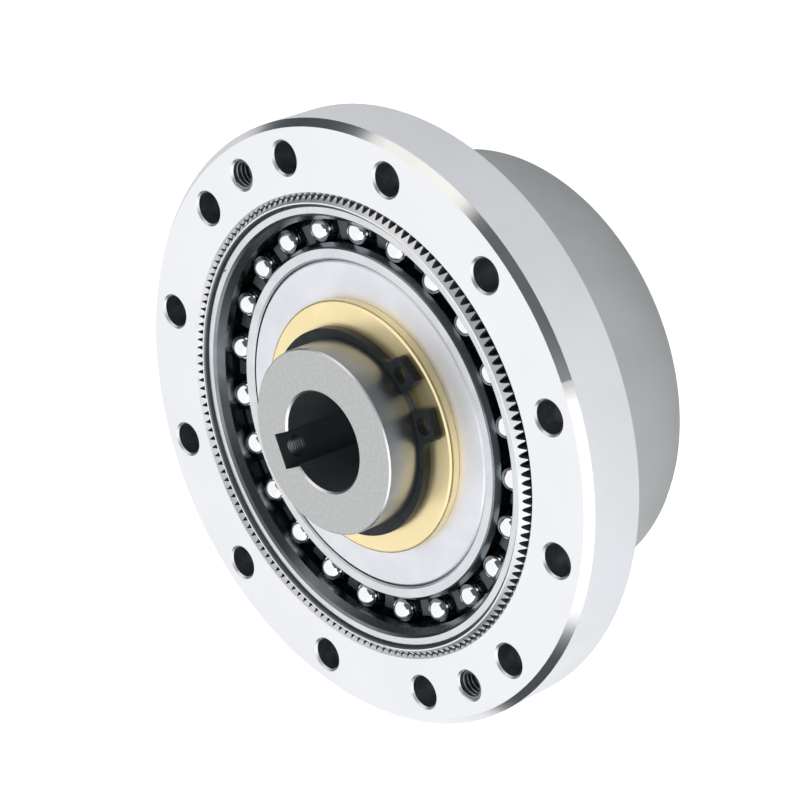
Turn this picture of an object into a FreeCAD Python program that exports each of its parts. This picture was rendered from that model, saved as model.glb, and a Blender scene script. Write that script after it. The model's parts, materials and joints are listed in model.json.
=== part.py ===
import FreeCAD, Part
import math
import os
import re

import Sketcher
from FreeCAD import Placement, Rotation, Vector

# Strain wave gear as a component set: a fixed ring with internal teeth, a thin toothed cup and an
# oval cam on a flexing ball bearing, driven by a hub through a slotted coupling insert.
# Frame: +Z along the shaft from the cup's boss to the front of the hub, origin at the centre of the
# boss face. The long axis of the oval lies along Y. All lengths are in millimetres.

doc = FreeCAD.newDocument("StrainWaveGear")

sizes = {
    # fixed ring
    "flangeRadius": 42.5,
    "flangeWidth": 10.0,
    "flangeFrontChamfer": 1.0,
    "flangeRearChamfer": 0.75,
    "boltCircleShift": -0.008,
    "flangeHoleRadius": 2.25,
    "flangeHoleCount": 12,
    "flangeHoleAngle": 84.0,
    "jackHoleRadius": 2.0,
    "holeChamfer": 0.3,
    "toothLeadIn": 0.97,
    "toothRearChamfer": 0.4,
    # teeth
    "fixedTeeth": 162,
    "toothModule": 0.396,
    "flexAddendum": 0.38,
    "fixedAddendum": 0.35,
    "tipClearance": 0.06,
    "flankAngle": 30.0,
    # toothed cup
    "cupLength": 31.35,
    "cupStandout": 0.35,
    "cupStep": 0.1,
    "cupWall": 0.6,
    "rimWall": 0.6,
    "cupMouthChamfer": 0.15,
    "toothOverrun": 0.8,
    "toothFrontChamfer": 1.04,
    "diaphragmThickness": 0.9,
    "cupCornerRadius": 0.8,
    "cupInnerCorner": 1.4,
    "bossRadius": 20.0,
    "bossStep": 0.4,
    "bossThickness": 4.0,
    "pilotRadius": 10.0,
    "pilotChamfer": 0.4,
    "outputBoltCircle": 15.0,
    "outputHoleRadius": 2.75,
    "outputHoleCount": 8,
    # wave bearing
    "ballRadius": 2.0,
    "ballCount": 23,
    "ballInset": 3.9,
    "ballPhase": -9.55,
    "raceClearance": 0.02,
    "raceConformity": 1.06,
    "ringFitClearance": 0.02,
    "ringEdgeChamfer": 0.25,
    "outerRingInset": 0.2,
    "outerRingWidth": 7.4,
    "outerRingFrontChamfer": 0.38,
    "outerRingWall": 2.03,
    "outerShoulder": 0.27,
    "outerRingChamfer": 0.35,
    "outerRingFlare": 0.69,
    "outerRingFlareDepth": 1.0,
    "innerRingStandout": 0.15,
    "innerRingWidth": 5.75,
    "innerRingWall": 1.88,
    "innerShoulder": 0.24,
    "innerRingChamfer": 0.2,
    "innerRingFlare": 0.45,
    "innerRingFlareDepth": 0.75,
    "cageClearance": 0.05,
    "cageFrontInset": 0.15,
    "cagePocketClearance": 0.72,
    "cageWeb": 0.78,
    # oval cam
    "plugInset": 2.0,
    "plugThickness": 8.0,
    "plugChamfer": 0.38,
    "plugHubClearance": 0.15,
    # coupling
    "couplingFloat": 0.2,
    "tongueWidth": 6.0,
    "tongueHeight": 2.2,
    "tongueOuterRadius": 18.8,
    "slotClearance": 0.02,
    "slotFloorClearance": 0.05,
    "insertRadius": 19.5,
    "insertThickness": 4.6,
    "insertHubClearance": 0.2,
    "faceClearance": 0.1,
    # hub
    "hubRadius": 13.0,
    "hubStandout": 8.0,
    "hubChamfer": 0.22,
    "hubFlangeRadius": 18.8,
    "hubFlangeThickness": 3.0,
    "boreRadius": 7.0,
    "boreChamfer": 0.28,
    "keyWidth": 5.0,
    "keyDepth": 2.3,
    "setScrewRadius": 1.5,
    "setScrewInset": 2.9,
    # washer and snap ring
    "washerRadius": 17.8,
    "washerThickness": 1.47,
    "washerRound": 0.45,
    "washerBoreClearance": 0.05,
    "washerGap": 0.03,
    "grooveDepth": 0.55,
    "grooveClearance": 0.1,
    "ringThickness": 1.2,
    "ringGap": 0.05,
    "ringSeatClearance": 0.02,
    "ringStandout": 1.57,
    "ringOffset": 0.95,
    "ringGapAngle": 8.4,
    "ringOpening": 6.1,
    "lugAngle": 14.5,
    "lugHalfWidth": 2.15,
    "lugStandout": 3.45,
    "lugCorner": 0.9,
    "lugBlend": 2.0,
    "lugHoleRadius": 1.15,
    "lugHoleStandout": 1.65,
}

# The oval has two lobes, and the fixed ring has one tooth more than the cup for each.
lobes = 2
# Two lengths this close, in millimetres, are the same.
nearEnough = 1e-4
# A tooth of the cup, as pairs of its height's share and its half thickness in pitches.
cupTooth = ((0, 0.43), (0.2, 0.31), (0.47, 0.21), (0.75, 0.13), (1, 0.055))

sheet = doc.addObject("Spreadsheet::Sheet", "Sizes")
for row, (alias, number) in enumerate(sizes.items(), start=1):
    sheet.set(f"A{row}", alias)
    sheet.set(f"B{row}", str(number))
    sheet.setAlias(f"B{row}", alias)
doc.recompute()

# Lengths that follow from the driving ones, as expressions on the sheet.
follows = {
    "flexTeeth": f"fixedTeeth - {lobes}",
    "flexPitch": "toothModule * flexTeeth / 2",
    "fixedPitch": "toothModule * fixedTeeth / 2",
    "fixedTip": "fixedPitch - fixedAddendum",
    "fixedRoot": "fixedPitch + flexAddendum + tipClearance",
    "flexTip": "flexPitch + flexAddendum",
    "flexRoot": "flexPitch - fixedAddendum - tipClearance",
    "quarterPitch": "toothModule * pi / 4",
    "flexToothLength": "flangeWidth + cupStandout + toothOverrun",
    "flangeFront": "cupLength - cupStandout",
    "flangeBack": "flangeFront - flangeWidth",
    "toothBack": "cupLength - flexToothLength",
    "flangeBoltCircle": "(fixedRoot + flangeRadius) / 2 + boltCircleShift",
    "jackHoleAngle": "flangeHoleAngle + 180 / flangeHoleCount",
    "cupRadius": "flexRoot + cupStep",
    "cupBore": "cupRadius - cupWall",
    "mouthBore": "flexRoot - rimWall",
    "diaphragmTop": "bossStep + diaphragmThickness",
    "wallStart": "diaphragmTop + cupInnerCorner",
    "outerRingRadius": "mouthBore - ringFitClearance",
    "outerRace": "outerRingRadius - outerRingWall",
    "outerShoulderRadius": "outerRace - outerShoulder",
    "outerRingFront": "flangeFront - outerRingInset",
    "ballCircle": "outerRace - raceClearance - ballRadius",
    "ballHeight": "flangeFront - ballInset",
    "innerRace": "ballCircle - ballRadius - raceClearance",
    "innerShoulderRadius": "innerRace + innerShoulder",
    "innerBoreRadius": "innerRace - innerRingWall",
    "innerRingFront": "plugFront + innerRingStandout",
    "raceRadius": "ballRadius * raceConformity",
    "innerStretch": "toothModule / innerRace",
    "outerStretch": "toothModule / outerRace",
    "cageInner": "innerShoulderRadius + toothModule + cageClearance",
    "cageOuter": "outerShoulderRadius - toothModule - cageClearance",
    "cageFront": "ballHeight - cageFrontInset",
    "cagePocketRadius": "ballRadius + cagePocketClearance",
    "cageRear": "ballHeight - cagePocketRadius - cageWeb",
    "plugFront": "flangeFront - plugInset",
    "plugBack": "plugFront - plugThickness",
    "plugBoreRadius": "hubRadius + couplingFloat + plugHubClearance",
    "insertBoreRadius": "hubRadius + couplingFloat + insertHubClearance",
    "insertFront": "plugBack - faceClearance",
    "insertBack": "insertFront - insertThickness",
    "slotDepth": "tongueHeight + slotFloorClearance",
    "hubFlangeFront": "insertBack - faceClearance",
    "hubBack": "hubFlangeFront - hubFlangeThickness",
    "hubFront": "plugFront + hubStandout",
    "keyFloor": "boreRadius + keyDepth",
    "setScrewHeight": "hubFront - setScrewInset",
    "washerBack": "plugFront + washerGap",
    "washerFront": "washerBack + washerThickness",
    "ringBack": "washerFront + ringGap",
    "ringFront": "ringBack + ringThickness",
    "grooveRadius": "hubRadius - grooveDepth",
    "grooveBack": "ringBack - grooveClearance / 2",
    "grooveFront": "ringFront + grooveClearance / 2",
    "ringBore": "grooveRadius + ringSeatClearance",
    "ringOuterRadius": "hubRadius + ringStandout",
    "lugReach": "hubRadius + lugStandout",
    "lugHoleCircle": "hubRadius + lugHoleStandout",
}


def spelledOut(text):
    """An expression with each followed length written out and each alias tied to the sheet."""

    def swap(match):
        word = match[0]
        if word in follows:
            return "(" + spelledOut(follows[word]) + ")"
        return "Sizes." + word if word in sizes else word

    return re.sub(r"[A-Za-z]+", swap, text)


def value(text):
    return float(sheet.evalExpression(spelledOut(text)))


def tie(item, prop, text):
    item.setExpression(prop, spelledOut(text))


def newBody(name):
    return doc.addObject("PartDesign::Body", name)


def originPart(body, role):
    return next(item for item in body.Origin.OriginFeatures if item.Role == role)


def sketchOn(body, role, height="0"):
    sketch = body.newObject("Sketcher::SketchObject", body.Name + "_sketch")
    sketch.AttachmentSupport = [(originPart(body, role), "")]
    sketch.MapMode = "FlatFace"
    tie(sketch, "AttachmentOffset.Base.z", height)
    return sketch


def pin(sketch, geometry, end, x, y):
    """Hold one point of the sketch at expressions x and y from the origin."""
    for kind, text in (("DistanceX", x), ("DistanceY", y)):
        if text == "0":
            axis = -2 if kind == "DistanceX" else -1
            sketch.addConstraint(Sketcher.Constraint("PointOnObject", geometry, end, axis))
            continue
        where = value(text)
        index = sketch.addConstraint(Sketcher.Constraint(kind, -1, 1, geometry, end, where))
        tie(sketch, f"Constraints[{index}]", text)


def outline(sketch, corners, arcs=None):
    """A closed outline through corners given as pairs of expressions.
    arcs maps a corner's number to the radius of the arc that leaves it, bulging to the left."""
    arcs = arcs or {}
    spots = [Vector(value(x), value(y), 0) for x, y in corners]
    count = len(corners)
    lines = []
    for index, start in enumerate(spots):
        finish = spots[(index + 1) % count]
        if index in arcs:
            radius = value(arcs[index])
            chord = finish - start
            sag = radius - math.sqrt(radius**2 - (chord.Length / 2) ** 2)
            left = Vector(-chord.y, chord.x, 0).normalize()
            middle = (start + finish) / 2 + left * sag
            lines.append(sketch.addGeometry(Part.Arc(start, middle, finish)))
        else:
            lines.append(sketch.addGeometry(Part.LineSegment(start, finish)))
    ends = []
    for index, line in enumerate(lines):
        flipped = sketch.getPoint(line, 1).distanceToPoint(spots[index]) > nearEnough
        ends.append((2, 1) if flipped else (1, 2))
    for index, line in enumerate(lines):
        after = (index + 1) % count
        joint = Sketcher.Constraint("Coincident", line, ends[index][1], lines[after], ends[after][0])
        sketch.addConstraint(joint)
        pin(sketch, line, ends[index][0], *corners[index])
    for index, radius in arcs.items():
        place = sketch.addConstraint(Sketcher.Constraint("Radius", lines[index], value(radius)))
        tie(sketch, f"Constraints[{place}]", radius)


def circle(sketch, x, y, radius):
    spot = Vector(value(x), value(y), 0)
    index = sketch.addGeometry(Part.Circle(spot, Vector(0, 0, 1), value(radius)))
    place = sketch.addConstraint(Sketcher.Constraint("Radius", index, value(radius)))
    tie(sketch, f"Constraints[{place}]", radius)
    if x == "0" and y == "0":
        sketch.addConstraint(Sketcher.Constraint("Coincident", index, 3, -1, 1))
    else:
        pin(sketch, index, 3, x, y)


def rectangle(sketch, left, right, low, high):
    outline(sketch, [(left, low), (right, low), (right, high), (left, high)])


def turned(body, corners, arcs=None):
    """Revolve an outline of radius and height pairs about the shaft axis."""
    sketch = sketchOn(body, "XZ_Plane")
    outline(sketch, corners, arcs)
    feature = body.newObject("PartDesign::Revolution", body.Name + "_turned")
    feature.Profile = sketch
    feature.ReferenceAxis = (originPart(body, "Z_Axis"), [""])
    feature.Angle = 360
    doc.recompute()
    return feature


def pad(body, sketch, length):
    feature = body.newObject("PartDesign::Pad", body.Name + "_pad")
    feature.Profile = sketch
    tie(feature, "Length", length)
    return feature


def pocket(body, sketch, depth, upward=False, taper="0"):
    """Cut from the sketch against its normal, or along it when upward; it has to take material."""
    doc.recompute()
    before = body.Shape.Volume
    feature = body.newObject("PartDesign::Pocket", body.Name + "_pocket")
    feature.Profile = sketch
    feature.Reversed = upward
    tie(feature, "Length", depth)
    tie(feature, "TaperAngle", taper)
    doc.recompute()
    if feature.Shape.Volume >= before:
        raise RuntimeError(f"a pocket of {body.Name} cuts nothing")
    return feature


def around(body, features, count):
    """Repeat features evenly round the shaft axis."""
    pattern = body.newObject("PartDesign::PolarPattern", body.Name + "_pattern")
    pattern.Originals = features
    pattern.Axis = (originPart(body, "Z_Axis"), [""])
    pattern.Angle = 360
    tie(pattern, "Occurrences", count)
    body.Tip = pattern
    doc.recompute()
    return pattern


def dressed(body, kind, edges, size):
    """Fillet or chamfer the edges of the body's tip that the test accepts."""
    doc.recompute()
    base = body.Tip
    names = [f"Edge{n}" for n, edge in enumerate(base.Shape.Edges, start=1) if edges(edge)]
    if not names:
        raise RuntimeError(f"no edge of {body.Name} to dress")
    feature = body.newObject("PartDesign::" + kind, body.Name + "_" + kind.lower())
    feature.Base = (base, names)
    tie(feature, "Radius" if kind == "Fillet" else "Size", size)
    body.Tip = feature
    doc.recompute()
    return feature


def isRound(edge, radius, height):
    """True for a circle of this radius at this height."""
    curve = edge.Curve
    if not isinstance(curve, Part.Circle):
        return False
    return abs(curve.Radius - radius) < nearEnough and abs(curve.Center.z - height) < nearEnough


def polar(radius, angle):
    """Expressions for the x and y of a point at a radius and an angle in degrees."""
    return f"({radius}) * cos({angle})", f"({radius}) * sin({angle})"


def ovalRing(name, radius, stretch, height):
    """A closed curve for a loft: a circle, or an oval with its long axis along Y."""
    kind = "Part::Circle" if stretch == "0" else "Part::Ellipse"
    ring = doc.addObject(kind, name)
    if stretch == "0":
        tie(ring, "Radius", radius)
    else:
        tie(ring, "MajorRadius", f"{radius} + {stretch}")
        tie(ring, "MinorRadius", f"{radius} - {stretch}")
    ring.Placement = Placement(Vector(), Rotation(Vector(0, 0, 1), 90))
    tie(ring, "Placement.Base.z", height)
    return ring


def loft(name, rings):
    """A solid through two rings, given as tuples of radius, stretch and height."""
    shape = doc.addObject("Part::Loft", name)
    shape.Sections = [ovalRing(f"{name}_ring{n}", *ring) for n, ring in enumerate(rings, start=1)]
    shape.Solid = True
    shape.Ruled = True
    return shape


def cut(name, base, tool):
    shape = doc.addObject("Part::Cut", name)
    shape.Base = base
    shape.Tool = tool
    shape.Refine = False
    return shape


def fuse(name, shapes):
    shape = doc.addObject("Part::MultiFuse", name)
    shape.Shapes = shapes
    shape.Refine = False
    return shape


def stretched(name, base, stretch):
    """Bend a round piece to the oval: narrower along X and longer along Y by the same share."""
    shape = doc.addObject("Part::Scale", name)
    shape.Base = base
    shape.Uniform = False
    tie(shape, "XScale", f"1 - {stretch}")
    tie(shape, "YScale", f"1 + {stretch}")
    shape.ZScale = 1
    return shape


def boltHoles(body, top, depth, circleRadius, angle, radius, count, bevel=None):
    """Through holes in a circle, each bevelled at both ends where a bevel is given."""
    middle = polar(circleRadius, angle)
    sketch = sketchOn(body, "XY_Plane", top)
    circle(sketch, *middle, radius)
    features = [pocket(body, sketch, depth)]
    if bevel:
        for height, upward in ((top, False), (f"{top} - {depth}", True)):
            mouth = sketchOn(body, "XY_Plane", height)
            circle(mouth, *middle, f"{radius} + {bevel}")
            features.append(pocket(body, mouth, bevel, upward, "-45"))
    return around(body, features, count)


def fixedRing():
    body = newBody("circular_spline")
    turned(body, [
        ("fixedTip + toothRearChamfer", "flangeBack"),
        ("flangeRadius - flangeRearChamfer", "flangeBack"),
        ("flangeRadius", "flangeBack + flangeRearChamfer"),
        ("flangeRadius", "flangeFront - flangeFrontChamfer"),
        ("flangeRadius - flangeFrontChamfer", "flangeFront"),
        ("fixedTip + toothLeadIn", "flangeFront"),
        ("fixedTip", "flangeFront - toothLeadIn"),
        ("fixedTip", "flangeBack + toothRearChamfer"),
    ])
    boltHoles(body, "flangeFront", "flangeWidth", "flangeBoltCircle", "flangeHoleAngle",
              "flangeHoleRadius", "flangeHoleCount", "holeChamfer")
    boltHoles(body, "flangeFront", "flangeWidth", "flangeBoltCircle", "jackHoleAngle",
              "jackHoleRadius", "2", "holeChamfer")
    # One tooth space on the Y axis, open to the inside, then all of them.
    gap = sketchOn(body, "XY_Plane", "flangeFront")
    mouth = "(fixedTip - toothModule / 2)"
    halfRoot = "(quarterPitch - (fixedRoot - fixedPitch) * tan(flankAngle))"
    halfMouth = f"(quarterPitch + (fixedPitch - {mouth}) * tan(flankAngle))"
    outline(gap, [
        (f"-{halfMouth}", mouth),
        (halfMouth, mouth),
        (halfRoot, "fixedRoot"),
        (f"-{halfRoot}", "fixedRoot"),
    ])
    around(body, [pocket(body, gap, "flangeWidth")], "fixedTeeth")
    return body


def flexToothRing():
    """The toothed rim of the cup, bent to the wave. A point of the round rim moves out by
    w cos 2a and along the rim by -w/2 sin 2a, where a is its angle from the long axis."""
    wave = sizes["toothModule"]
    pitch = value("flexPitch")
    root, depth = value("flexRoot") - pitch, value("flexTip - flexRoot")
    profile = [(root + share * depth, math.pi * wave * half) for share, half in cupTooth]
    corners = [(rise, -half) for rise, half in profile] + profile[::-1]
    points = []
    back = value("toothBack")
    teeth = round(value("flexTeeth"))
    for tooth in range(teeth):
        angle = 2 * math.pi * tooth / teeth
        fromLong = 2 * (angle - math.pi / 2)
        outward = Vector(math.cos(angle), math.sin(angle), 0)
        along = Vector(-math.sin(angle), math.cos(angle), 0)
        centre = outward * (pitch + wave * math.cos(fromLong)) - along * (wave / 2 * math.sin(fromLong))
        tilt = 1.5 * wave / pitch * math.sin(fromLong)
        normal = outward * math.cos(tilt) + along * math.sin(tilt)
        tangent = along * math.cos(tilt) - outward * math.sin(tilt)
        points += [centre + normal * rise + tangent * side + Vector(0, 0, back) for rise, side in corners]
    bore = value("mouthBore")
    bend = value("mouthBore * outerStretch")
    hole = Part.Ellipse(Vector(0, bore + bend, back), Vector(bore - bend, 0, back), Vector(0, 0, back))
    wires = [Part.makePolygon(points + points[:1]), Part.Wire(hole.toShape())]
    rim = Part.makeFace(wires, "Part::FaceMakerBullseye")
    ring = doc.addObject("Part::Feature", "flexspline_teeth")
    ring.Shape = rim.extrude(Vector(0, 0, value("flexToothLength")))
    # The front ends of the teeth are bevelled by what lies outside a cone.
    beyond, above = "flexTip + 2 * toothModule", "cupLength + toothModule"
    blank = loft("flexspline_bevel_blank", [
        (beyond, "0", "cupLength - flangeWidth / 2"), (beyond, "0", above)])
    cone = loft("flexspline_bevel_cone", [
        ("flexTip + flangeWidth - toothFrontChamfer", "toothModule", "cupLength - flangeWidth"),
        ("flexTip - toothFrontChamfer - toothModule", "toothModule", above)])
    return cut("flexspline_bevelled_teeth", ring, cut("flexspline_bevel", blank, cone))


def toothedCup():
    floor = newBody("flexspline_floor")
    turned(floor, [
        ("pilotRadius + pilotChamfer", "0"),
        ("bossRadius", "0"),
        ("bossRadius", "bossStep"),
        ("cupRadius", "bossStep"),
        ("cupRadius", "wallStart"),
        ("cupBore", "wallStart"),
        ("cupBore - cupInnerCorner", "diaphragmTop"),
        ("bossRadius + cupInnerCorner", "diaphragmTop"),
        ("bossRadius", "diaphragmTop + cupInnerCorner"),
        ("bossRadius", "bossThickness"),
        ("pilotRadius + pilotChamfer", "bossThickness"),
        ("pilotRadius", "bossThickness - pilotChamfer"),
        ("pilotRadius", "pilotChamfer"),
    ], {5: "cupInnerCorner"})
    dressed(floor, "Fillet", lambda edge: isRound(edge, value("cupRadius"), value("bossStep")),
            "cupCornerRadius")
    boltHoles(floor, "bossThickness", "bossThickness", "outputBoltCircle", "0",
              "outputHoleRadius", "outputHoleCount")
    wall = cut("flexspline_wall",
               loft("flexspline_wall_outside", [("cupRadius", "0", "wallStart"),
                                                ("cupRadius", "toothModule", "toothBack")]),
               loft("flexspline_wall_inside", [("cupBore", "0", "wallStart"),
                                               ("cupBore", "toothModule", "toothBack")]))
    bend = "mouthBore * outerStretch"
    widened = "mouthBore + cupMouthChamfer"
    mouth = loft("flexspline_mouth", [("mouthBore", bend, "cupLength - cupMouthChamfer"),
                                      (widened, bend, "cupLength")])
    rim = cut("flexspline_rim", flexToothRing(), mouth)
    return fuse("flexspline", [floor, wall, rim])


def outerRing():
    body = newBody("outer_ring_round")
    sag = "sqrt(raceRadius^2 - (raceRadius - outerRace + outerShoulderRadius)^2)"
    back = "outerRingFront - outerRingWidth"
    flare = "outerShoulderRadius + outerRingFlare"
    turned(body, [
        ("outerShoulderRadius + outerRingChamfer", back),
        ("outerRingRadius - ringEdgeChamfer", back),
        ("outerRingRadius", f"{back} + ringEdgeChamfer"),
        ("outerRingRadius", "outerRingFront - outerRingFrontChamfer"),
        ("outerRingRadius - outerRingFrontChamfer", "outerRingFront"),
        (f"{flare} + outerRingChamfer", "outerRingFront"),
        (flare, "outerRingFront - outerRingChamfer"),
        ("outerShoulderRadius", "outerRingFront - outerRingChamfer - outerRingFlareDepth"),
        ("outerShoulderRadius", f"ballHeight + {sag}"),
        ("outerShoulderRadius", f"ballHeight - {sag}"),
        ("outerShoulderRadius", f"{back} + outerRingChamfer"),
    ], {8: "raceRadius"})
    return stretched("bearing_outer_ring", body, "outerStretch")


def innerRing():
    body = newBody("inner_ring_round")
    sag = "sqrt(raceRadius^2 - (raceRadius - innerShoulderRadius + innerRace)^2)"
    back = "innerRingFront - innerRingWidth"
    flare = "innerShoulderRadius - innerRingFlare"
    turned(body, [
        ("innerBoreRadius + ringEdgeChamfer", back),
        ("innerShoulderRadius - innerRingChamfer", back),
        ("innerShoulderRadius", f"{back} + innerRingChamfer"),
        ("innerShoulderRadius", f"ballHeight - {sag}"),
        ("innerShoulderRadius", f"ballHeight + {sag}"),
        ("innerShoulderRadius", "innerRingFront - innerRingChamfer - innerRingFlareDepth"),
        (flare, "innerRingFront - innerRingChamfer"),
        (f"{flare} - innerRingChamfer", "innerRingFront"),
        ("innerBoreRadius + ringEdgeChamfer", "innerRingFront"),
        ("innerBoreRadius", "innerRingFront - ringEdgeChamfer"),
        ("innerBoreRadius", f"{back} + ringEdgeChamfer"),
    ], {3: "raceRadius"})
    return stretched("bearing_inner_ring", body, "innerStretch")


def balls():
    """Balls evenly spaced by the cage, each at the oval's radius for its angle."""
    pieces = []
    for number in range(1, sizes["ballCount"] + 1):
        ball = doc.addObject("Part::Sphere", f"ball_{number:02d}")
        tie(ball, "Radius", "ballRadius")
        angle = f"(ballPhase + {number - 1} * 360 / ballCount)"
        short, long = "(ballCircle - toothModule)", "(ballCircle + toothModule)"
        reach = f"{short} * {long} / sqrt(({long} * cos({angle}))^2 + ({short} * sin({angle}))^2)"
        x, y = polar(reach, angle)
        tie(ball, "Placement.Base.x", x)
        tie(ball, "Placement.Base.y", y)
        tie(ball, "Placement.Base.z", "ballHeight")
        pieces.append(ball)
    return pieces


def cage():
    """Crown cage, open to the front, with a round pocket for each ball."""
    body = newBody("ball_cage")
    turned(body, [
        ("cageInner", "cageRear"),
        ("cageOuter", "cageRear"),
        ("cageOuter", "cageFront"),
        ("cageInner", "cageFront"),
    ])
    sketch = sketchOn(body, "XZ_Plane")
    circle(sketch, "0", "ballHeight", "cagePocketRadius")
    around(body, [pocket(body, sketch, "flangeRadius")], "ballCount")
    # The first pocket is cut on the Y axis, and the piece is turned to the first ball.
    tie(body, "Placement.Rotation.Angle", "ballPhase - 90")
    return body


def plug():
    disc = newBody("plug_round")
    outside = "innerBoreRadius - ringFitClearance"
    turned(disc, [
        ("0", "plugBack"),
        (f"{outside} - plugChamfer", "plugBack"),
        (outside, "plugBack + plugChamfer"),
        (outside, "plugFront - plugChamfer"),
        (f"{outside} - plugChamfer", "plugFront"),
        ("0", "plugFront"),
    ])
    oval = stretched("plug_oval", disc, "innerStretch")
    tongues = []
    for name, start in (("plug_tongue_right", "0"), ("plug_tongue_left", "-tongueOuterRadius")):
        tongue = doc.addObject("Part::Box", name)
        tie(tongue, "Length", "tongueOuterRadius")
        tie(tongue, "Width", "tongueWidth")
        tie(tongue, "Height", "tongueHeight")
        tie(tongue, "Placement.Base.x", start)
        tie(tongue, "Placement.Base.y", "-tongueWidth / 2")
        tie(tongue, "Placement.Base.z", "plugBack - tongueHeight")
        tongues.append(tongue)
    bore = doc.addObject("Part::Cylinder", "plug_bore")
    tie(bore, "Radius", "plugBoreRadius")
    tie(bore, "Height", "plugThickness + tongueHeight")
    tie(bore, "Placement.Base.z", "plugBack - tongueHeight")
    return cut("wave_generator_plug", fuse("plug_blank", [oval] + tongues), bore)


def couplingInsert():
    """Slots across the front take the plug's tongues, slots across the back take the hub's."""
    body = newBody("oldham_insert")
    turned(body, [
        ("insertBoreRadius", "insertBack"),
        ("insertRadius", "insertBack"),
        ("insertRadius", "insertFront"),
        ("insertBoreRadius", "insertFront"),
    ])
    half = "(tongueWidth / 2 + slotClearance)"
    front = sketchOn(body, "XY_Plane", "insertFront")
    rectangle(front, "-insertRadius", "insertRadius", f"-{half}", half)
    pocket(body, front, "slotDepth")
    back = sketchOn(body, "XY_Plane", "insertBack")
    rectangle(back, f"-{half}", half, "-insertRadius", "insertRadius")
    pocket(body, back, "slotDepth", upward=True)
    return body


def hub():
    body = newBody("input_hub")
    turned(body, [
        ("boreRadius + boreChamfer", "hubBack"),
        ("hubFlangeRadius", "hubBack"),
        ("hubFlangeRadius", "hubFlangeFront"),
        ("hubRadius", "hubFlangeFront"),
        ("hubRadius", "grooveBack"),
        ("grooveRadius", "grooveBack"),
        ("grooveRadius", "grooveFront"),
        ("hubRadius", "grooveFront"),
        ("hubRadius", "hubFront - hubChamfer"),
        ("hubRadius - hubChamfer", "hubFront"),
        ("boreRadius + boreChamfer", "hubFront"),
        ("boreRadius", "hubFront - boreChamfer"),
        ("boreRadius", "hubBack + boreChamfer"),
    ])
    tongueStart = "insertBoreRadius + couplingFloat"
    for low, high in ((tongueStart, "hubFlangeRadius"),
                      ("-hubFlangeRadius", f"-({tongueStart})")):
        sketch = sketchOn(body, "XY_Plane", "hubFlangeFront")
        rectangle(sketch, "-tongueWidth / 2", "tongueWidth / 2", low, high)
        pad(body, sketch, "tongueHeight")
    keyway = sketchOn(body, "XY_Plane", "hubFront")
    rectangle(keyway, "-keyFloor", "0", "-keyWidth / 2", "keyWidth / 2")
    pocket(body, keyway, "hubFront - hubBack")
    screw = sketchOn(body, "YZ_Plane")
    circle(screw, "0", "setScrewHeight", "setScrewRadius")
    pocket(body, screw, "hubRadius")
    return body


def washer():
    body = newBody("thrust_washer")
    turned(body, [
        ("hubRadius + washerBoreClearance", "washerBack"),
        ("washerRadius", "washerBack"),
        ("washerRadius", "washerFront"),
        ("hubRadius + washerBoreClearance", "washerFront"),
    ])
    dressed(body, "Fillet", lambda edge: isRound(edge, sizes["washerRadius"], value("washerFront")),
            "washerRound")
    return body


def snapRing():
    """External ring, widest opposite its gap, with two drilled lugs. Modelled with the gap on
    the X axis and turned to its place."""
    body = newBody("snap_ring")
    blank = sketchOn(body, "XY_Plane", "ringBack")
    circle(blank, "-ringOffset", "0", "ringOuterRadius")
    pad(body, blank, "ringThickness")
    for side in ("", "-"):
        angle = f"{side}lugAngle"
        lug = sketchOn(body, "XY_Plane", "ringBack")
        reach = [("ringBore", "-lugHalfWidth"), ("lugReach", "-lugHalfWidth"),
                 ("lugReach", "lugHalfWidth"), ("ringBore", "lugHalfWidth")]
        outline(lug, [(f"({out}) * cos({angle}) - ({over}) * sin({angle})",
                       f"({out}) * sin({angle}) + ({over}) * cos({angle})") for out, over in reach])
        pad(body, lug, "ringThickness")
    bore = sketchOn(body, "XY_Plane", "ringFront")
    circle(bore, "0", "0", "ringBore")
    pocket(body, bore, "ringThickness")
    gap = sketchOn(body, "XY_Plane", "ringFront")
    outline(gap, [polar("grooveRadius / 2", "-ringOpening"), polar("lugReach * 1.1", "-ringOpening"),
                  polar("lugReach * 1.1", "ringOpening"), polar("grooveRadius / 2", "ringOpening")])
    pocket(body, gap, "ringThickness")
    for side in ("", "-"):
        hole = sketchOn(body, "XY_Plane", "ringFront")
        circle(hole, *polar("lugHoleCircle", f"{side}lugAngle"), "lugHoleRadius")
        pocket(body, hole, "ringThickness")
    reach = (value("ringOuterRadius") + value("lugReach")) / 2

    def upright(edge, outside):
        """Upright edges on the far side of a lug, at its outer corner or where it meets the ring."""
        ends = [v.Point for v in edge.Vertexes]
        if len(ends) < 2 or math.hypot(ends[0].x - ends[1].x, ends[0].y - ends[1].y) > nearEnough:
            return False
        radius = math.hypot(ends[0].x, ends[0].y)
        side = abs(math.degrees(math.atan2(ends[0].y, ends[0].x)))
        past = side > sizes["lugAngle"] + math.degrees(sizes["lugHoleRadius"] / radius) + 0.5
        return past and (radius > reach) == outside

    dressed(body, "Fillet", lambda edge: upright(edge, True), "lugCorner")
    dressed(body, "Fillet", lambda edge: upright(edge, False), "lugBlend")
    tie(body, "Placement.Rotation.Angle", "ringGapAngle")
    return body


nodes = [
    fixedRing(),
    toothedCup(),
    outerRing(),
    innerRing(),
    *balls(),
    cage(),
    plug(),
    couplingInsert(),
    hub(),
    washer(),
    snapRing(),
]
doc.recompute()

for item in doc.Objects:
    if "Invalid" in item.State or "Error" in item.State:
        raise RuntimeError(f"{item.Name} failed: {item.State}")
for node in nodes:
    shape = node.Shape
    if shape.isNull() or not shape.isValid() or len(shape.Solids) != 1:
        raise RuntimeError(f"{node.Label}: null {shape.isNull()}, {len(shape.Solids)} solids")

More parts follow.
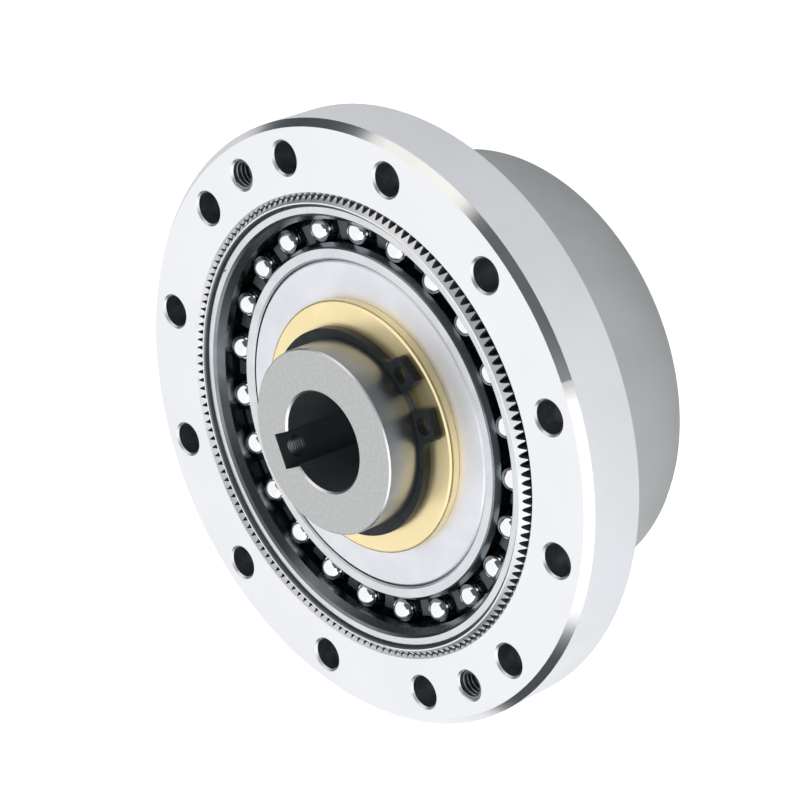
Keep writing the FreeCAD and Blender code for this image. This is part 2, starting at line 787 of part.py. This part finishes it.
os.makedirs("parts", exist_ok=True)
for node in nodes:
    node.Shape.exportStep(f"parts/{node.Label}.step")
print(len(nodes), "pieces written")
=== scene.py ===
import json
import math

import bpy
from mathutils import Matrix, Vector


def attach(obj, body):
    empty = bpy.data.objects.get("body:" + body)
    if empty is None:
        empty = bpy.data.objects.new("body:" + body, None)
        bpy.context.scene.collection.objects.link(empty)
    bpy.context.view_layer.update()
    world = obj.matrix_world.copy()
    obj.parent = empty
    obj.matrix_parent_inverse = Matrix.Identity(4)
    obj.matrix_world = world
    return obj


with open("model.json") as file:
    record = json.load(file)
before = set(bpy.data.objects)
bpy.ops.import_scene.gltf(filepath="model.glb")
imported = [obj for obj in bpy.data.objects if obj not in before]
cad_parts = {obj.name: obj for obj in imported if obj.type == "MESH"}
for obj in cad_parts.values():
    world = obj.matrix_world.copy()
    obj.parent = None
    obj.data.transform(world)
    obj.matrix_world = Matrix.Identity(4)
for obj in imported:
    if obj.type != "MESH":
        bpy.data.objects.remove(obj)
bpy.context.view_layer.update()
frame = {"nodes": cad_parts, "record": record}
nodes = frame["nodes"]
mounts = {mount["name"]: mount for mount in frame["record"]["mounts"]}
mm = 0.001


# Helpers for nodes, materials and objects

def put(tree, kind, sockets=None, **settings):
    node = tree.nodes.new(kind)
    for name, setting in settings.items():
        setattr(node, name, setting)
    for name, given in (sockets or {}).items():
        if isinstance(given, bpy.types.NodeSocket):
            tree.links.new(given, node.inputs[name])
        else:
            node.inputs[name].default_value = given
    return node


def calc(tree, operation, *values):
    return put(tree, "ShaderNodeMath", dict(enumerate(values)), operation=operation).outputs[0]


def ramp(tree, value, low, high, toLow=0.0, toHigh=1.0, kind="SMOOTHSTEP"):
    sockets = {"Value": value, "From Min": low, "From Max": high, "To Min": toLow, "To Max": toHigh}
    return put(tree, "ShaderNodeMapRange", sockets, interpolation_type=kind).outputs["Result"]


def blendColor(tree, factor, first, second):
    colors = {0: factor, 6: first, 7: second}  # the mix node's colour sockets
    return put(tree, "ShaderNodeMix", colors, data_type="RGBA").outputs[2]


def blendValue(tree, factor, first, second):
    values = {0: factor, 2: first, 3: second}  # the mix node's number sockets
    return put(tree, "ShaderNodeMix", values).outputs[0]


def newMaterial(name):
    material = bpy.data.materials.new(name)
    material.use_nodes = True
    material.node_tree.nodes.clear()
    return material, material.node_tree


def newObject(name, data):
    made = bpy.data.objects.new(name, data)
    bpy.context.scene.collection.objects.link(made)
    return made


def newGroup(name, inputs, outputs):
    group = bpy.data.node_groups.new(name, "ShaderNodeTree")
    for label, kind in inputs:
        group.interface.new_socket(label, in_out="INPUT", socket_type="NodeSocket" + kind)
    for label, kind in outputs:
        group.interface.new_socket(label, in_out="OUTPUT", socket_type="NodeSocket" + kind)
    return group, put(group, "NodeGroupInput").outputs, put(group, "NodeGroupOutput").inputs


# Shader groups that every finish shares

patchEdges = {"low": 0.35, "high": 0.65}
grainShares = {"coarse": 0.7, "cells": 0.3}


def makeCutterMarks():
    # Fine lines left by a cutting tool, stacked along a distance, with soft patches over them
    group, given, out = newGroup(
        "cutterMarks",
        [("Vector", "Vector"), ("Distance", "Float"), ("Spacing", "Float"), ("Patch Size", "Float")],
        [("Lines", "Float"), ("Patches", "Float")])
    step = calc(group, "DIVIDE", given["Distance"], given["Spacing"])
    lines = put(group, "ShaderNodeTexNoise",
                {"W": step, "Scale": 1.0, "Detail": 3.0, "Roughness": 0.7},
                noise_dimensions="1D").outputs[0]
    density = calc(group, "DIVIDE", 1.0, given["Patch Size"])
    cloud = put(group, "ShaderNodeTexNoise",
                {"Vector": given["Vector"], "Scale": density, "Detail": 4.0, "Roughness": 0.55}).outputs[0]
    group.links.new(lines, out["Lines"])
    group.links.new(ramp(group, cloud, patchEdges["low"], patchEdges["high"]), out["Patches"])
    return group


def makeSurfaceGrain():
    # The fine tooth of a blasted, ground or moulded surface
    group, given, out = newGroup(
        "surfaceGrain", [("Vector", "Vector"), ("Grain Size", "Float")], [("Grain", "Float")])
    density = calc(group, "DIVIDE", 1.0, given["Grain Size"])
    coarse = put(group, "ShaderNodeTexNoise",
                 {"Vector": given["Vector"], "Scale": density, "Detail": 3.0, "Roughness": 0.6}).outputs[0]
    cells = put(group, "ShaderNodeTexVoronoi",
                {"Vector": given["Vector"], "Scale": density}).outputs["Distance"]
    mixed = calc(group, "ADD", calc(group, "MULTIPLY", coarse, grainShares["coarse"]),
                 calc(group, "MULTIPLY", cells, grainShares["cells"]))
    group.links.new(mixed, out["Grain"])
    return group


cutterMarks = makeCutterMarks()
surfaceGrain = makeSurfaceGrain()


# Finishes. Lengths are in millimetres, and "along" is what the tool marks are stacked along.

finishes = {
    "groundFace": {"color": (0.86, 0.86, 0.878), "rough": 0.26, "metal": 1.0, "along": "radius",
                   "spacing": 0.22, "patch": 14.0, "tone": 0.004, "grain": 0.12, "lines": 0.5,
                   "bump": 0.0003, "edge": 0.0},
    "turnedSide": {"color": (0.80, 0.815, 0.835), "rough": 0.30, "metal": 1.0, "along": "height",
                   "spacing": 0.16, "patch": 9.0, "tone": 0.02, "grain": 0.12, "lines": 0.8,
                   "bump": 0.0012, "edge": 0.08},
    "cutBevel": {"color": (0.83, 0.835, 0.85), "rough": 0.16, "metal": 1.0, "along": "height",
                 "spacing": 0.2, "patch": 6.0, "tone": 0.03, "grain": 0.12, "lines": 0.6,
                 "bump": 0.0008, "edge": 0.06},
    "holeBevel": {"color": (0.72, 0.725, 0.735), "rough": 0.32, "metal": 1.0, "along": "height",
                  "spacing": 0.1, "patch": 3.0, "tone": 0.05, "grain": 0.1, "lines": 0.6,
                  "bump": 0.001, "edge": 0.05},
    # Painted shade: the walls of the bolt and jack holes are given a dark colour for the shade inside the
    # holes.
    "drilledBoreShade": {"color": (0.21, 0.235, 0.24), "rough": 0.46, "metal": 0.9, "along": "height",
                    "spacing": 0.1, "patch": 1.6, "tone": 0.3, "grain": 0.1, "lines": 0.6,
                    "bump": 0.005, "edge": 0.0},
    # Painted shade: the thread ridges are steel given a dark colour for the shade inside the tapped holes.
    "tappedRidgeShade": {"color": (0.27, 0.28, 0.285), "rough": 0.38, "metal": 1.0, "along": "height",
                    "spacing": 0.1, "patch": 1.6, "tone": 0.15, "grain": 0.1, "lines": 0.4,
                    "bump": 0.003, "edge": 0.05},
    # Painted shade: the tooth flanks and the spaces between teeth are given a near black colour for the
    # shade in the gaps.
    "toothSpaceShade": {"color": (0.105, 0.125, 0.135), "rough": 0.5, "metal": 0.35, "along": "height",
                   "spacing": 0.08, "patch": 2.0, "tone": 0.12, "grain": 0.08, "lines": 0.6,
                   "bump": 0.001, "edge": 0.0},
    "toothBevel": {"color": (0.80, 0.81, 0.83), "rough": 0.36, "metal": 1.0, "along": "height",
                   "spacing": 0.08, "patch": 3.0, "tone": 0.04, "grain": 0.08, "lines": 0.6,
                   "bump": 0.0006, "edge": 0.03},
    "leadCone": {"color": (0.74, 0.745, 0.755), "rough": 0.42, "metal": 1.0, "along": "height",
                 "spacing": 0.08, "patch": 3.0, "tone": 0.03, "grain": 0.08, "lines": 0.6,
                 "bump": 0.0006, "edge": 0.03},
    # Painted shade: the chamfer and walls inside the cup's mouth are given a dark colour for the shade in
    # the gap beside the bearing ring.
    "mouthBevelShade": {"color": (0.21, 0.235, 0.25), "rough": 0.38, "metal": 1.0, "along": "height",
                   "spacing": 0.06, "patch": 3.0, "tone": 0.1, "grain": 0.08, "lines": 0.6,
                   "bump": 0.001, "edge": 0.04},
    "cupWall": {"color": (0.63, 0.65, 0.645), "rough": 0.5, "metal": 1.0, "along": "height",
                "spacing": 0.3, "patch": 12.0, "tone": 0.02, "grain": 0.16, "lines": 0.2,
                "bump": 0.012, "edge": 0.1},
    "raceFace": {"color": (0.69, 0.70, 0.72), "rough": 0.24, "metal": 1.0, "along": "radius",
                 "spacing": 0.07, "patch": 4.0, "tone": 0.05, "grain": 0.1, "lines": 0.6,
                 "bump": 0.0008, "edge": 0.05},
    "raceBevel": {"color": (0.66, 0.67, 0.685), "rough": 0.42, "metal": 1.0, "along": "height",
                  "spacing": 0.07, "patch": 4.0, "tone": 0.05, "grain": 0.1, "lines": 0.6,
                  "bump": 0.0008, "edge": 0.05},
    # Painted shade: the ring walls that face the balls are given a dark colour for the shade between the
    # rings.
    "raceWallShade": {"color": (0.19, 0.212, 0.225), "rough": 0.26, "metal": 1.0, "along": "height",
                 "spacing": 0.07, "patch": 3.0, "tone": 0.12, "grain": 0.1, "lines": 0.6,
                 "bump": 0.0012, "edge": 0.05},
    # Painted shade: the inner ring's bore chamfer is given a near black colour for the shade in the joint
    # against the plug.
    "seamShade": {"color": (0.03, 0.036, 0.04), "rough": 0.5, "metal": 0.5, "along": "radius",
                  "spacing": 0.07, "patch": 3.0, "tone": 0.2, "grain": 0.08, "lines": 0.3,
                  "bump": 0.0, "edge": 0.0},
    "chromeBall": {"color": (0.87, 0.87, 0.885), "rough": 0.025, "metal": 1.0, "along": "height",
                   "spacing": 0.4, "patch": 1.5, "tone": 0.03, "grain": 0.3, "lines": 0.1,
                   "bump": 0.0, "edge": 0.0},
    "mouldedCage": {"color": (0.036, 0.048, 0.056), "rough": 0.28, "metal": 0.0, "along": "radius",
                    "spacing": 0.3, "patch": 1.6, "tone": 0.16, "grain": 0.07, "lines": 0.1,
                    "bump": 0.008, "edge": 0.08},
    "camFace": {"color": (0.845, 0.85, 0.885), "rough": 0.46, "metal": 1.0, "along": "radius",
                "spacing": 0.12, "patch": 5.0, "tone": 0.03, "grain": 0.14, "lines": 0.45,
                "bump": 0.0015, "edge": 0.06},
    "phosphate": {"color": (0.15, 0.16, 0.17), "rough": 0.6, "metal": 0.6, "along": "radius",
                  "spacing": 0.3, "patch": 2.5, "tone": 0.2, "grain": 0.1, "lines": 0.2,
                  "bump": 0.01, "edge": 0.1},
    "blastedFace": {"color": (0.665, 0.665, 0.66), "rough": 0.7, "metal": 1.0, "along": "radius",
                    "spacing": 0.4, "patch": 0.5, "tone": 0.02, "grain": 0.1, "lines": 0.1,
                    "bump": 0.0016, "edge": 0.1},
    "hubSide": {"color": (0.38, 0.40, 0.415), "rough": 0.34, "metal": 1.0, "along": "height",
                "spacing": 0.1, "patch": 4.0, "tone": 0.05, "grain": 0.1, "lines": 0.7,
                "bump": 0.002, "edge": 0.1},
    "hubBevel": {"color": (0.78, 0.785, 0.80), "rough": 0.3, "metal": 1.0, "along": "height",
                 "spacing": 0.1, "patch": 4.0, "tone": 0.04, "grain": 0.1, "lines": 0.7,
                 "bump": 0.001, "edge": 0.08},
    # Painted shade: the hub's bore and keyway are given a dark colour for the shade inside them.
    "boreShade": {"color": (0.12, 0.14, 0.15), "rough": 0.38, "metal": 0.4, "along": "height",
                 "spacing": 0.15, "patch": 4.0, "tone": 0.1, "grain": 0.1, "lines": 0.3,
                 "bump": 0.002, "edge": 0.08},
    "goldWasher": {"color": (1.0, 0.83, 0.48), "rough": 0.34, "metal": 1.0, "along": "radius",
                   "spacing": 0.14, "patch": 6.0, "tone": 0.02, "grain": 0.1, "lines": 0.4,
                   "bump": 0.002, "edge": 0.05},
    "blackOxide": {"color": (0.024, 0.03, 0.035), "rough": 0.4, "metal": 0.0, "along": "radius",
                   "spacing": 0.15, "patch": 2.0, "tone": 0.2, "grain": 0.07, "lines": 0.3,
                   "bump": 0.003, "edge": 0.1, "ior": 1.28},
}

# How the marks show in every finish, and the index of a finish that names none
marking = {"patches": 0.6, "relief": 0.4, "low": 0.2, "high": 0.8, "roughSpread": 0.08,
           "edgeSamples": 4}
plainIor = 1.5


def makeFinish(name, look):
    material, tree = newMaterial(name)
    spot = put(tree, "ShaderNodeTexCoord").outputs["Object"]
    axes = put(tree, "ShaderNodeSeparateXYZ", {"Vector": spot}).outputs
    radius = calc(tree, "SQRT", calc(tree, "ADD", calc(tree, "MULTIPLY", axes["X"], axes["X"]),
                                     calc(tree, "MULTIPLY", axes["Y"], axes["Y"])))
    distance = radius if look["along"] == "radius" else axes["Z"]
    marks = put(tree, "ShaderNodeGroup", node_tree=cutterMarks)
    grain = put(tree, "ShaderNodeGroup", node_tree=surfaceGrain)
    tree.links.new(spot, marks.inputs["Vector"])
    tree.links.new(distance, marks.inputs["Distance"])
    marks.inputs["Spacing"].default_value = look["spacing"] * mm
    marks.inputs["Patch Size"].default_value = look["patch"] * mm
    tree.links.new(spot, grain.inputs["Vector"])
    grain.inputs["Grain Size"].default_value = look["grain"] * mm
    relief = blendValue(tree, look["lines"], grain.outputs["Grain"], marks.outputs["Lines"])
    # Colour: soft patches, with the relief's high spots a little lighter
    mask = calc(tree, "ADD", calc(tree, "MULTIPLY", marks.outputs["Patches"], marking["patches"]),
                calc(tree, "MULTIPLY", relief, marking["relief"]))
    darker = [channel * (1 - look["tone"]) for channel in look["color"]] + [1]
    lighter = [min(1, channel * (1 + look["tone"])) for channel in look["color"]] + [1]
    color = blendColor(tree, mask, darker, lighter)
    spread = marking["roughSpread"]
    rough = ramp(tree, mask, marking["low"], marking["high"],
                 look["rough"] * (1 + spread), look["rough"] * (1 - spread), "LINEAR")
    shader = put(tree, "ShaderNodeBsdfPrincipled",
                 {"Base Color": color, "Roughness": rough, "Metallic": look["metal"],
                  "IOR": look.get("ior", plainIor)})
    if look["bump"]:
        sockets = {"Height": relief, "Strength": 1.0, "Distance": look["bump"] * mm}
        if look["edge"]:
            soft = put(tree, "ShaderNodeBevel", {"Radius": look["edge"] * mm},
                       samples=marking["edgeSamples"])
            sockets["Normal"] = soft.outputs["Normal"]
        bump = put(tree, "ShaderNodeBump", sockets)
        tree.links.new(bump.outputs["Normal"], shader.inputs["Normal"])
    surface = put(tree, "ShaderNodeOutputMaterial")
    tree.links.new(shader.outputs["BSDF"], surface.inputs["Surface"])
    return material


finish = {name: makeFinish(name, look) for name, look in finishes.items()}
print("finishes:", len(finish))


# Which finish each face of a CAD node takes. A rule gives a finish's name for the middle of a face
# and its distance from the shaft axis, both in millimetres, and its normal.

# How far a normal points along the shaft: less than this on a wall, more than this on a flat face
facing = {"wall": 0.3, "flat": 0.95, "hubFlat": 0.9}
flangeZones = {"boltReach": 2.6, "toothReach": 33.6}
cupZones = {"teethFrom": 20.1, "rimInside": 31.0}
hubZones = {"front": 36.9, "bore": 9.4, "rim": 12.2, "keyHalf": 2.6, "keyFrom": 5.0}


def outward(spot, normal):
    return spot.x * normal.x + spot.y * normal.y > 0


def flangeRule(spot, radius, normal):
    bolts = mounts["flange_bolts"]["dims"]
    jack = mounts["jack_thread_1"]
    circle = bolts["pcd_mm"] / 2
    angle = math.atan2(spot.y, spot.x)
    jackAngle = math.atan2(jack["pos_m"][1], jack["pos_m"][0])
    step = 2 * math.pi / bolts["count"]
    first = jackAngle + step / 2  # the jack holes lie half way between bolt holes
    fromBolt = (angle - first + step / 2) % step - step / 2
    fromJack = (angle - jackAngle + math.pi / 2) % math.pi - math.pi / 2
    for turn in (fromBolt, fromJack):
        away = math.hypot(radius * math.cos(turn) - circle, radius * math.sin(turn))
        if away < flangeZones["boltReach"]:
            if abs(normal.z) < facing["wall"]:
                # Hole walls take the dark finish that paints the shade inside the holes.
                return "drilledBoreShade"
            if abs(normal.z) < facing["flat"]:
                return "holeBevel"
    if abs(normal.z) > facing["flat"]:
        return "groundFace"
    if radius < flangeZones["toothReach"]:
        # Tooth flanks take the finish with painted shade between the teeth.
        return "leadCone" if abs(normal.z) > facing["wall"] else "toothSpaceShade"
    return "turnedSide" if abs(normal.z) < facing["wall"] else "cutBevel"


def cupRule(spot, radius, normal):
    if spot.z < cupZones["teethFrom"]:
        return "cupWall"
    if normal.z > facing["flat"]:
        return "groundFace"
    if abs(normal.z) > facing["wall"]:
        # Inward chamfers take the finish with painted shade for the gap at the mouth.
        return "toothBevel" if outward(spot, normal) else "mouthBevelShade"
    # Tooth walls take painted shade, in the tooth-gap finish outside the rim and the mouth finish inside
    # it.
    return "toothSpaceShade" if radius > cupZones["rimInside"] else "mouthBevelShade"


def outerRaceRule(spot, radius, normal):
    if abs(normal.z) > facing["flat"]:
        return "raceFace"
    # Inward walls of the outer ring take the finish with painted shade between the rings.
    return "raceBevel" if outward(spot, normal) else "raceWallShade"


def innerRaceRule(spot, radius, normal):
    if abs(normal.z) > facing["flat"]:
        return "raceFace"
    if outward(spot, normal):
        # Outward walls of the inner ring take the finish with painted shade between the rings.
        return "raceWallShade"
    # The bore chamfer takes the finish with painted shade in the joint.
    return "raceBevel" if abs(normal.z) > facing["wall"] else "seamShade"


def hubRule(spot, radius, normal):
    inKeyway = spot.x < -hubZones["keyFrom"] and abs(spot.y) < hubZones["keyHalf"]
    if normal.z > facing["hubFlat"]:
        return "blastedFace" if spot.z > hubZones["front"] else "hubSide"
    inBore = radius < hubZones["bore"] and abs(normal.z) < facing["wall"]
    if inKeyway and radius < hubZones["rim"] or inBore:
        # The bore and keyway take the finish with painted shade inside them.
        return "boreShade"
    return "hubBevel" if abs(normal.z) > facing["wall"] else "hubSide"


rules = {
    "circular_spline": flangeRule,
    "flexspline": cupRule,
    "bearing_outer_ring": outerRaceRule,
    "bearing_inner_ring": innerRaceRule,
    "ball_cage": "mouldedCage",
    "wave_generator_plug": "camFace",
    "oldham_insert": "phosphate",
    "input_hub": hubRule,
    "thrust_washer": "goldWasher",
    "snap_ring": "blackOxide",
}


def dressNode(name):
    mesh = nodes[name].data
    rule = rules.get(name, "chromeBall")
    mesh.materials.clear()
    if isinstance(rule, str):
        mesh.materials.append(finish[rule])
        return
    used = []
    for polygon in mesh.polygons:
        spot = polygon.center / mm
        wanted = rule(spot, math.hypot(spot.x, spot.y), polygon.normal)
        if wanted not in used:
            used.append(wanted)
            mesh.materials.append(finish[wanted])
        polygon.material_index = used.index(wanted)


for name in nodes:
    dressNode(name)
print("finishes laid on", len(nodes), "nodes")


# Threads in the tapped holes, as a ridge wound along the wall.
# Its foot and crest are shares of the pitch. "sink" is how many millimetres the foot lies in the wall.

ridgeShape = {"foot": 0.82, "crest": 0.14, "sink": 0.03, "pointsPerTurn": 40}


def makeThreadTree():
    tree = bpy.data.node_groups.new("threadRidge", "GeometryNodeTree")
    face = tree.interface
    face.new_socket("Geometry", in_out="INPUT", socket_type="NodeSocketGeometry")
    for label in ("Wall Radius", "Ridge Height", "Pitch", "Length"):
        face.new_socket(label, in_out="INPUT", socket_type="NodeSocketFloat")
    face.new_socket("Points Per Turn", in_out="INPUT", socket_type="NodeSocketInt")
    face.new_socket("Finish", in_out="INPUT", socket_type="NodeSocketMaterial")
    face.new_socket("Geometry", in_out="OUTPUT", socket_type="NodeSocketGeometry")
    given = put(tree, "NodeGroupInput").outputs
    turns = calc(tree, "DIVIDE", given["Length"], given["Pitch"])
    helix = put(tree, "GeometryNodeCurveSpiral", {
        "Resolution": given["Points Per Turn"], "Rotations": turns, "Start Radius": given["Wall Radius"],
        "End Radius": given["Wall Radius"], "Height": given["Length"]})
    upright = put(tree, "GeometryNodeSetCurveNormal", {"Curve": helix.outputs["Curve"]}, mode="Z_UP")
    foot = calc(tree, "MULTIPLY", given["Pitch"], ridgeShape["foot"])
    crest = calc(tree, "MULTIPLY", given["Pitch"], ridgeShape["crest"])
    section = put(tree, "GeometryNodeCurvePrimitiveQuadrilateral", {
        "Height": given["Ridge Height"], "Bottom Width": foot, "Top Width": crest, "Offset": 0.0},
        mode="TRAPEZOID")
    ridge = put(tree, "GeometryNodeCurveToMesh", {
        "Curve": upright.outputs["Curve"], "Profile Curve": section.outputs["Curve"], "Fill Caps": True})
    whole = put(tree, "GeometryNodeRealizeInstances", {"Geometry": ridge.outputs["Mesh"]})
    painted = put(tree, "GeometryNodeSetMaterial",
                  {"Geometry": whole.outputs["Geometry"], "Material": given["Finish"]})
    put(tree, "NodeGroupOutput", {"Geometry": painted.outputs["Geometry"]})
    return tree


threadTree = makeThreadTree()

threads = {
    "jack_thread_1": {"piece": "jackThreadOne", "body": "fixed_ring", "slot": "ground_steel",
                      "pitch": 0.7, "height": 0.36},
    "jack_thread_2": {"piece": "jackThreadTwo", "body": "fixed_ring", "slot": "ground_steel",
                      "pitch": 0.7, "height": 0.36},
    "set_screw_thread": {"piece": "setScrewThread", "body": "input_shaft", "slot": "hub_steel",
                         "pitch": 0.5, "height": 0.27},
}


def grow(name, tree, inputs):
    # Runs a geometry tree on an empty mesh and keeps its result as a plain mesh
    piece = newObject(name, bpy.data.meshes.new(name))
    modifier = piece.modifiers.new("tree", "NODES")
    modifier.node_group = tree
    items = tree.interface.items_tree
    sockets = {item.name: item.identifier for item in items if item.in_out == "INPUT"}
    for label, given in inputs.items():
        modifier[sockets[label]] = given
    bpy.context.view_layer.update()
    evaluated = piece.evaluated_get(bpy.context.evaluated_depsgraph_get())
    made = bpy.data.meshes.new_from_object(evaluated)
    piece.modifiers.remove(modifier)
    piece.data = made
    return piece


def addThread(mountName, spec):
    mount = mounts[mountName]
    length = mount["dims"]["length_mm"] * mm
    piece = grow(spec["piece"], threadTree, {
        "Wall Radius": (mount["dims"]["r_mm"] - spec["height"] / 2 + ridgeShape["sink"]) * mm,
        "Ridge Height": spec["height"] * mm, "Pitch": spec["pitch"] * mm, "Length": length,
        # The ridges take the finish with painted shade for the inside of the hole.
        "Points Per Turn": ridgeShape["pointsPerTurn"], "Finish": finish["tappedRidgeShade"]})
    axis = Vector(mount["axis"])
    start = Vector(mount["pos_m"]) - axis * length / 2
    turn = Vector((0, 0, 1)).rotation_difference(axis).to_matrix().to_4x4()
    piece.data.transform(Matrix.Translation(start) @ turn)
    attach(piece, spec["body"])
    back = turn.inverted()
    radii = [(back @ (vertex.co - start)).xy.length / mm for vertex in piece.data.vertices]
    print("thread", piece.name, "radii", round(min(radii), 3), round(max(radii), 3), len(radii))


for mountName, spec in threads.items():
    addThread(mountName, spec)


# Studio: a white tent with a dark band at the horizon, two windows and two dark flags

studio = {
    "white": (1.06, 1.07, 1.09, 1), "dark": (0.055, 0.068, 0.074, 1), "bandLow": 19.0, "bandHigh": 25.0,
    "backdrop": (1.0, 1.0, 1.0, 1),
}
# Each patch lies at an azimuth and elevation. All angles are in degrees.
patches = [
    {"at": (80, 34), "half": (23, 12), "soft": 3, "color": (1.12, 1.09, 1.02, 1)},
    {"at": (23, 31), "half": (32, 23), "soft": 4, "color": (0.11, 0.115, 0.115, 1)},
    {"at": (-58, 42), "half": (32, 15), "soft": 4, "color": (1.6, 1.58, 1.55, 1)},
    {"at": (-20, 24), "half": (22, 12), "soft": 3, "color": (0.09, 0.095, 0.095, 1)},
]


def makeSkyPatch():
    group, given, out = newGroup(
        "skyPatch",
        [("Direction", "Vector"), ("Middle", "Vector"), ("Side", "Vector"), ("Over", "Vector"),
         ("Half Width", "Float"), ("Half Height", "Float"), ("Soft", "Float")],
        [("Mask", "Float")])

    def along(axis):
        return put(group, "ShaderNodeVectorMath", {0: given["Direction"], 1: given[axis]},
                   operation="DOT_PRODUCT").outputs["Value"]

    ahead = along("Middle")
    tiny = 0.001  # keeps the divisions below finite
    near = calc(group, "MAXIMUM", ahead, tiny)
    mask = calc(group, "GREATER_THAN", ahead, 0.0)
    for axis, half in (("Side", "Half Width"), ("Over", "Half Height")):
        off = calc(group, "ABSOLUTE", calc(group, "DIVIDE", along(axis), near))
        inner = calc(group, "SUBTRACT", given[half], given["Soft"])
        outer = calc(group, "ADD", given[half], given["Soft"])
        mask = calc(group, "MULTIPLY", mask, ramp(group, off, inner, outer, 1.0, 0.0))
    group.links.new(mask, out["Mask"])
    return group


def buildSky():
    world = bpy.data.worlds.new("studioSky")
    bpy.context.scene.world = world
    world.use_nodes = True
    tree = world.node_tree
    tree.nodes.clear()
    toward = put(tree, "ShaderNodeTexCoord").outputs["Generated"]
    height = put(tree, "ShaderNodeSeparateXYZ", {"Vector": toward}).outputs["Z"]
    low, high = (math.sin(math.radians(studio[key])) for key in ("bandLow", "bandHigh"))
    color = blendColor(tree, ramp(tree, height, low, high), studio["dark"], studio["white"])
    skyPatch = makeSkyPatch()
    for patch in patches:
        around, up = (math.radians(angle) for angle in patch["at"])
        level = math.cos(up)
        middle = Vector((math.cos(around) * level, math.sin(around) * level, math.sin(up)))
        side = Vector((0, 0, 1)).cross(middle).normalized()
        halfWidth, halfHeight = (math.tan(math.radians(angle)) for angle in patch["half"])
        mask = put(tree, "ShaderNodeGroup", node_tree=skyPatch)
        tree.links.new(toward, mask.inputs["Direction"])
        for label, given in (("Middle", middle), ("Side", side), ("Over", middle.cross(side)),
                             ("Half Width", halfWidth), ("Half Height", halfHeight),
                             ("Soft", math.tan(math.radians(patch["soft"])))):
            mask.inputs[label].default_value = given
        color = blendColor(tree, mask.outputs["Mask"], color, patch["color"])
    lit = put(tree, "ShaderNodeBackground", {"Color": color, "Strength": 1.0})
    plain = put(tree, "ShaderNodeBackground", {"Color": studio["backdrop"], "Strength": 1.0})
    seen = put(tree, "ShaderNodeLightPath").outputs["Is Camera Ray"]
    both = put(tree, "ShaderNodeMixShader",
               {0: seen, 1: lit.outputs["Background"], 2: plain.outputs["Background"]})
    put(tree, "ShaderNodeOutputWorld", {"Surface": both.outputs["Shader"]})


# The floor is white to the camera. What it lends to reflections falls off along Y.
ground = {"size": 4.0, "color": (0.86, 0.86, 0.87, 1), "glow": 1.2, "nearGlow": 0.34, "farGlow": 0.02,
          "fade": 0.09}


def buildFloor():
    half = ground["size"] / 2
    mesh = bpy.data.meshes.new("floor")
    corners = [(-half, -half, 0), (half, -half, 0), (half, half, 0), (-half, half, 0)]
    mesh.from_pydata(corners, [], [(0, 1, 2, 3)])
    floor = newObject("floor", mesh)
    material, tree = newMaterial("paleFloor")
    spot = put(tree, "ShaderNodeTexCoord").outputs["Object"]
    along = put(tree, "ShaderNodeSeparateXYZ", {"Vector": spot}).outputs["Y"]
    lent = ramp(tree, along, -ground["fade"], ground["fade"], ground["nearGlow"], ground["farGlow"])
    seen = put(tree, "ShaderNodeLightPath").outputs["Is Camera Ray"]
    glow = blendValue(tree, seen, lent, ground["glow"])
    diffuse = put(tree, "ShaderNodeBsdfDiffuse", {"Color": ground["color"]})
    shine = put(tree, "ShaderNodeEmission", {"Color": ground["color"], "Strength": glow})
    both = put(tree, "ShaderNodeAddShader", {0: diffuse.outputs[0], 1: shine.outputs[0]})
    put(tree, "ShaderNodeOutputMaterial", {"Surface": both.outputs[0]})
    mesh.materials.append(material)


# The camera looks down past the shaft, rolled so that the shaft points to the lower left
view = {
    "place": (0.2993, 0.0312, 0.2696), "lens": 128.84, "sensor": 36.0,
    "right": (0.62368, -0.31395, -0.71586), "up": (0.14478, 0.94634, -0.28890),
    "back": (0.76815, 0.07653, 0.63567), "near": 0.01, "far": 10,
}


def placeCamera():
    camera = newObject("camera", bpy.data.cameras.new("camera"))
    camera.data.lens = view["lens"]
    camera.data.sensor_width = view["sensor"]
    camera.data.clip_start = view["near"]
    camera.data.clip_end = view["far"]
    turn = Matrix((view["right"], view["up"], view["back"])).transposed().to_4x4()
    camera.matrix_world = Matrix.Translation(view["place"]) @ turn
    bpy.context.scene.camera = camera


buildSky()
buildFloor()
placeCamera()
bpy.context.scene.view_settings.view_transform = "Standard"
print("studio ready")
